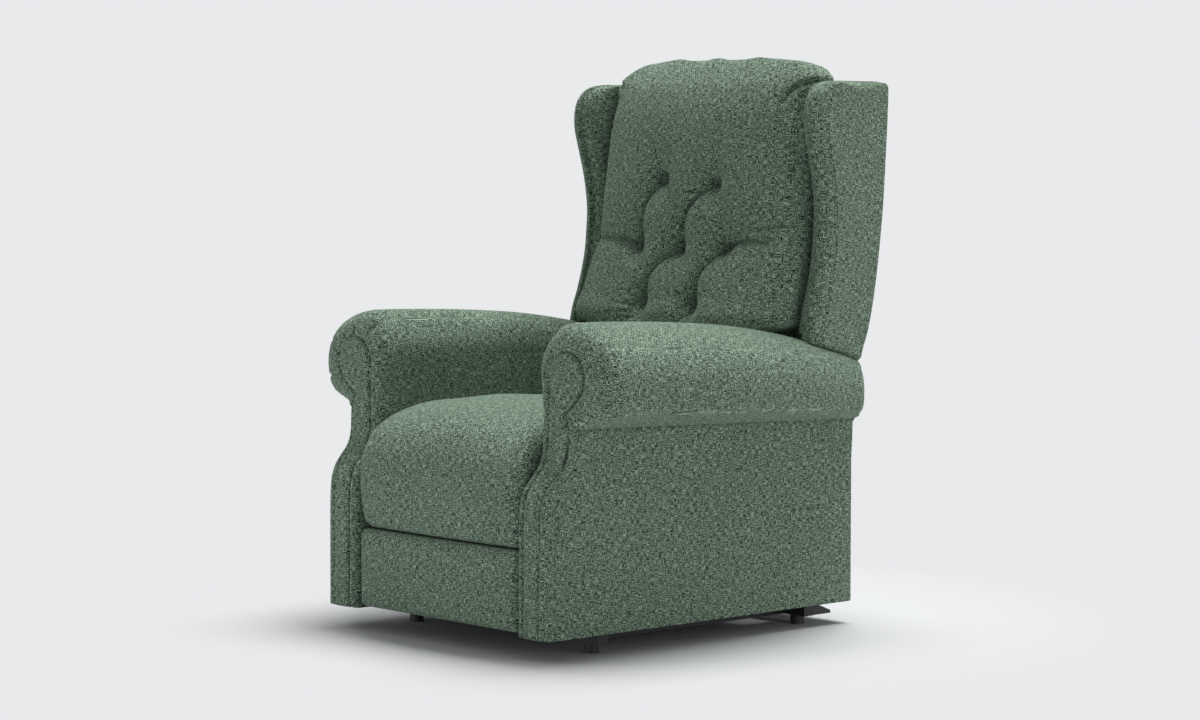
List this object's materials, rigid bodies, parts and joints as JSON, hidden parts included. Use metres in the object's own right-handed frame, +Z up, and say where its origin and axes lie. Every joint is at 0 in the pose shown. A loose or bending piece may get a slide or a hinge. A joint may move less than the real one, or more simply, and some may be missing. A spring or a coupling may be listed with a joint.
{
  "type": "lift recliner",
  "caption": "Upholstered lift recliner with scroll arms, wings and a tufted back, on a steel base whose links raise and tilt it; the back reclines and the footrest opens.",
  "frame": {"origin": "on the floor, in the middle of the chair's plan outline", "axes": "+Z up, -Y out of the front of the chair, +X towards the sitter's left"},
  "size_m": [0.9, 0.9304, 1.152],
  "materials": {
    "upholstery": "woven chenille",
    "black_steel": "satin powder coat",
    "bright_steel": "zinc plated",
    "black_plastic": "moulded",
    "timber": "sawn hardwood",
    "webbing": "elastic webbing"
  },
  "bodies": {
    "base": {"base_front_crossbar": "black_steel", "base_rear_crossbar": "black_steel", "base_side_rails": "black_steel", "crossbar_end_caps": "black_plastic", "rear_foot_plates": "black_steel", "levelling_feet": "black_plastic", "base_link_ears": "black_steel", "base_pivot_pins": "bright_steel", "lift_clevis": "black_steel"},
    "rear_links": {"rear_lift_links": "black_steel"},
    "front_links": {"front_lift_links": "black_steel"},
    "seat": {"left_mechanism_plate": "black_steel", "right_mechanism_plate": "black_steel", "seat_link_pins": "bright_steel", "front_cross_tube": "black_steel", "middle_cross_tube": "black_steel", "seat_front_rail": "timber", "seat_rear_rail": "timber", "seat_side_rails": "timber", "seat_webbing": "webbing", "control_box": "black_plastic", "left_side_panel": "upholstery", "right_side_panel": "upholstery", "left_arm_roll": "upholstery", "right_arm_roll": "upholstery", "left_arm_facing": "upholstery", "right_arm_facing": "upholstery", "seat_cushion": "upholstery", "rear_valance": "upholstery", "footrest_bearing_plates": "black_steel", "footrest_pivot_pins": "bright_steel", "seat_actuator_pins": "bright_steel", "recline_actuator_housing": "black_plastic", "recline_actuator_motor": "black_plastic"},
    "footrest_swing": {"footrest_swing_links": "black_steel", "footrest_torque_tube": "black_steel", "swing_link_pins": "bright_steel"},
    "footrest_inner": {"footrest_inner_links": "black_steel", "inner_link_pins": "bright_steel"},
    "footrest_carriers": {"footrest_carrier_bars": "black_steel"},
    "footrest_panel": {"footrest_board": "timber", "footrest_pad": "upholstery", "footrest_hinge_plates": "black_steel", "footrest_hinge_pins": "bright_steel"},
    "back": {"back_stiles": "timber", "back_top_rail": "timber", "back_bottom_rail": "timber", "wing_supports": "timber", "back_webbing": "webbing", "outside_back": "upholstery", "left_wing": "upholstery", "right_wing": "upholstery", "back_cushion": "upholstery", "back_hinge_plates": "black_steel", "back_lever_tube": "black_steel"},
    "lift_actuator": {"lift_actuator_housing": "black_plastic", "lift_actuator_motor": "black_plastic"},
    "lift_rod": {"lift_actuator_rod": "bright_steel"},
    "recline_rod": {"recline_actuator_rod": "bright_steel"}
  },
  "joints": [
    {"name": "lift", "type": "hinge", "parent": "base", "child": "rear_links", "pos_m": [0, -0.1627, 0.0863], "axis": [1, 0, 0], "range_deg": [0, 45.4]},
    {"name": "seat_tilt", "type": "hinge", "parent": "rear_links", "child": "seat", "pos_m": [0, 0.2573, 0.1239], "axis": [1, 0, 0], "range_deg": [-22.4, 0]},
    {"name": "front_link_swing", "type": "hinge", "parent": "base", "child": "front_links", "pos_m": [0, -0.2462, 0.0734], "axis": [1, 0, 0], "range_deg": [0, 55.4]},
    {"name": "lift_actuator_swing", "type": "hinge", "parent": "base", "child": "lift_actuator", "pos_m": [0, -0.2388, 0.1107], "axis": [1, 0, 0], "range_deg": [0, 47.5]},
    {"name": "lift_rod_slide", "type": "slide", "parent": "lift_actuator", "child": "lift_rod", "axis": [0, 0.797, 0.6039], "range_m": [0, 0.0591]},
    {"name": "footrest", "type": "hinge", "parent": "seat", "child": "footrest_swing", "pos_m": [0, -0.315, 0.185], "axis": [-1, 0, 0], "range_deg": [0, 140]},
    {"name": "footrest_inner_swing", "type": "hinge", "parent": "seat", "child": "footrest_inner", "pos_m": [0, -0.25897, 0.16499], "axis": [-1, 0, 0], "range_deg": [0, 140]},
    {"name": "footrest_carrier_turn", "type": "hinge", "parent": "footrest_swing", "child": "footrest_carriers", "pos_m": [0, -0.22899, 0.12477], "axis": [-1, 0, 0], "range_deg": [-140, 0]},
    {"name": "footrest_panel_turn", "type": "hinge", "parent": "footrest_carriers", "child": "footrest_panel", "pos_m": [0, -0.39898, 0.18547], "axis": [-1, 0, 0], "range_deg": [0, 82.1]},
    {"name": "back_recline", "type": "hinge", "parent": "seat", "child": "back", "pos_m": [0, 0.255, 0.31], "axis": [-1, 0, 0], "range_deg": [0, 38]},
    {"name": "recline_rod_slide", "type": "slide", "parent": "seat", "child": "recline_rod", "axis": [0, -1, 0], "range_m": [0, 0.049]}
  ],
  "couplings": [
    {"joint": "seat_tilt", "follows": "lift", "ratio": -0.4916},
    {"joint": "front_link_swing", "follows": "lift", "ratio": 1.219},
    {"joint": "lift_actuator_swing", "follows": "lift", "ratio": 1.0445},
    {"joint": "lift_rod_slide", "follows": "lift", "m_per_rad": 0.07439},
    {"joint": "footrest_inner_swing", "follows": "footrest", "ratio": 1},
    {"joint": "footrest_carrier_turn", "follows": "footrest", "ratio": -1},
    {"joint": "footrest_panel_turn", "follows": "footrest", "ratio": 0.5857},
    {"joint": "recline_rod_slide", "follows": "back_recline", "m_per_rad": 0.0736}
  ]
}
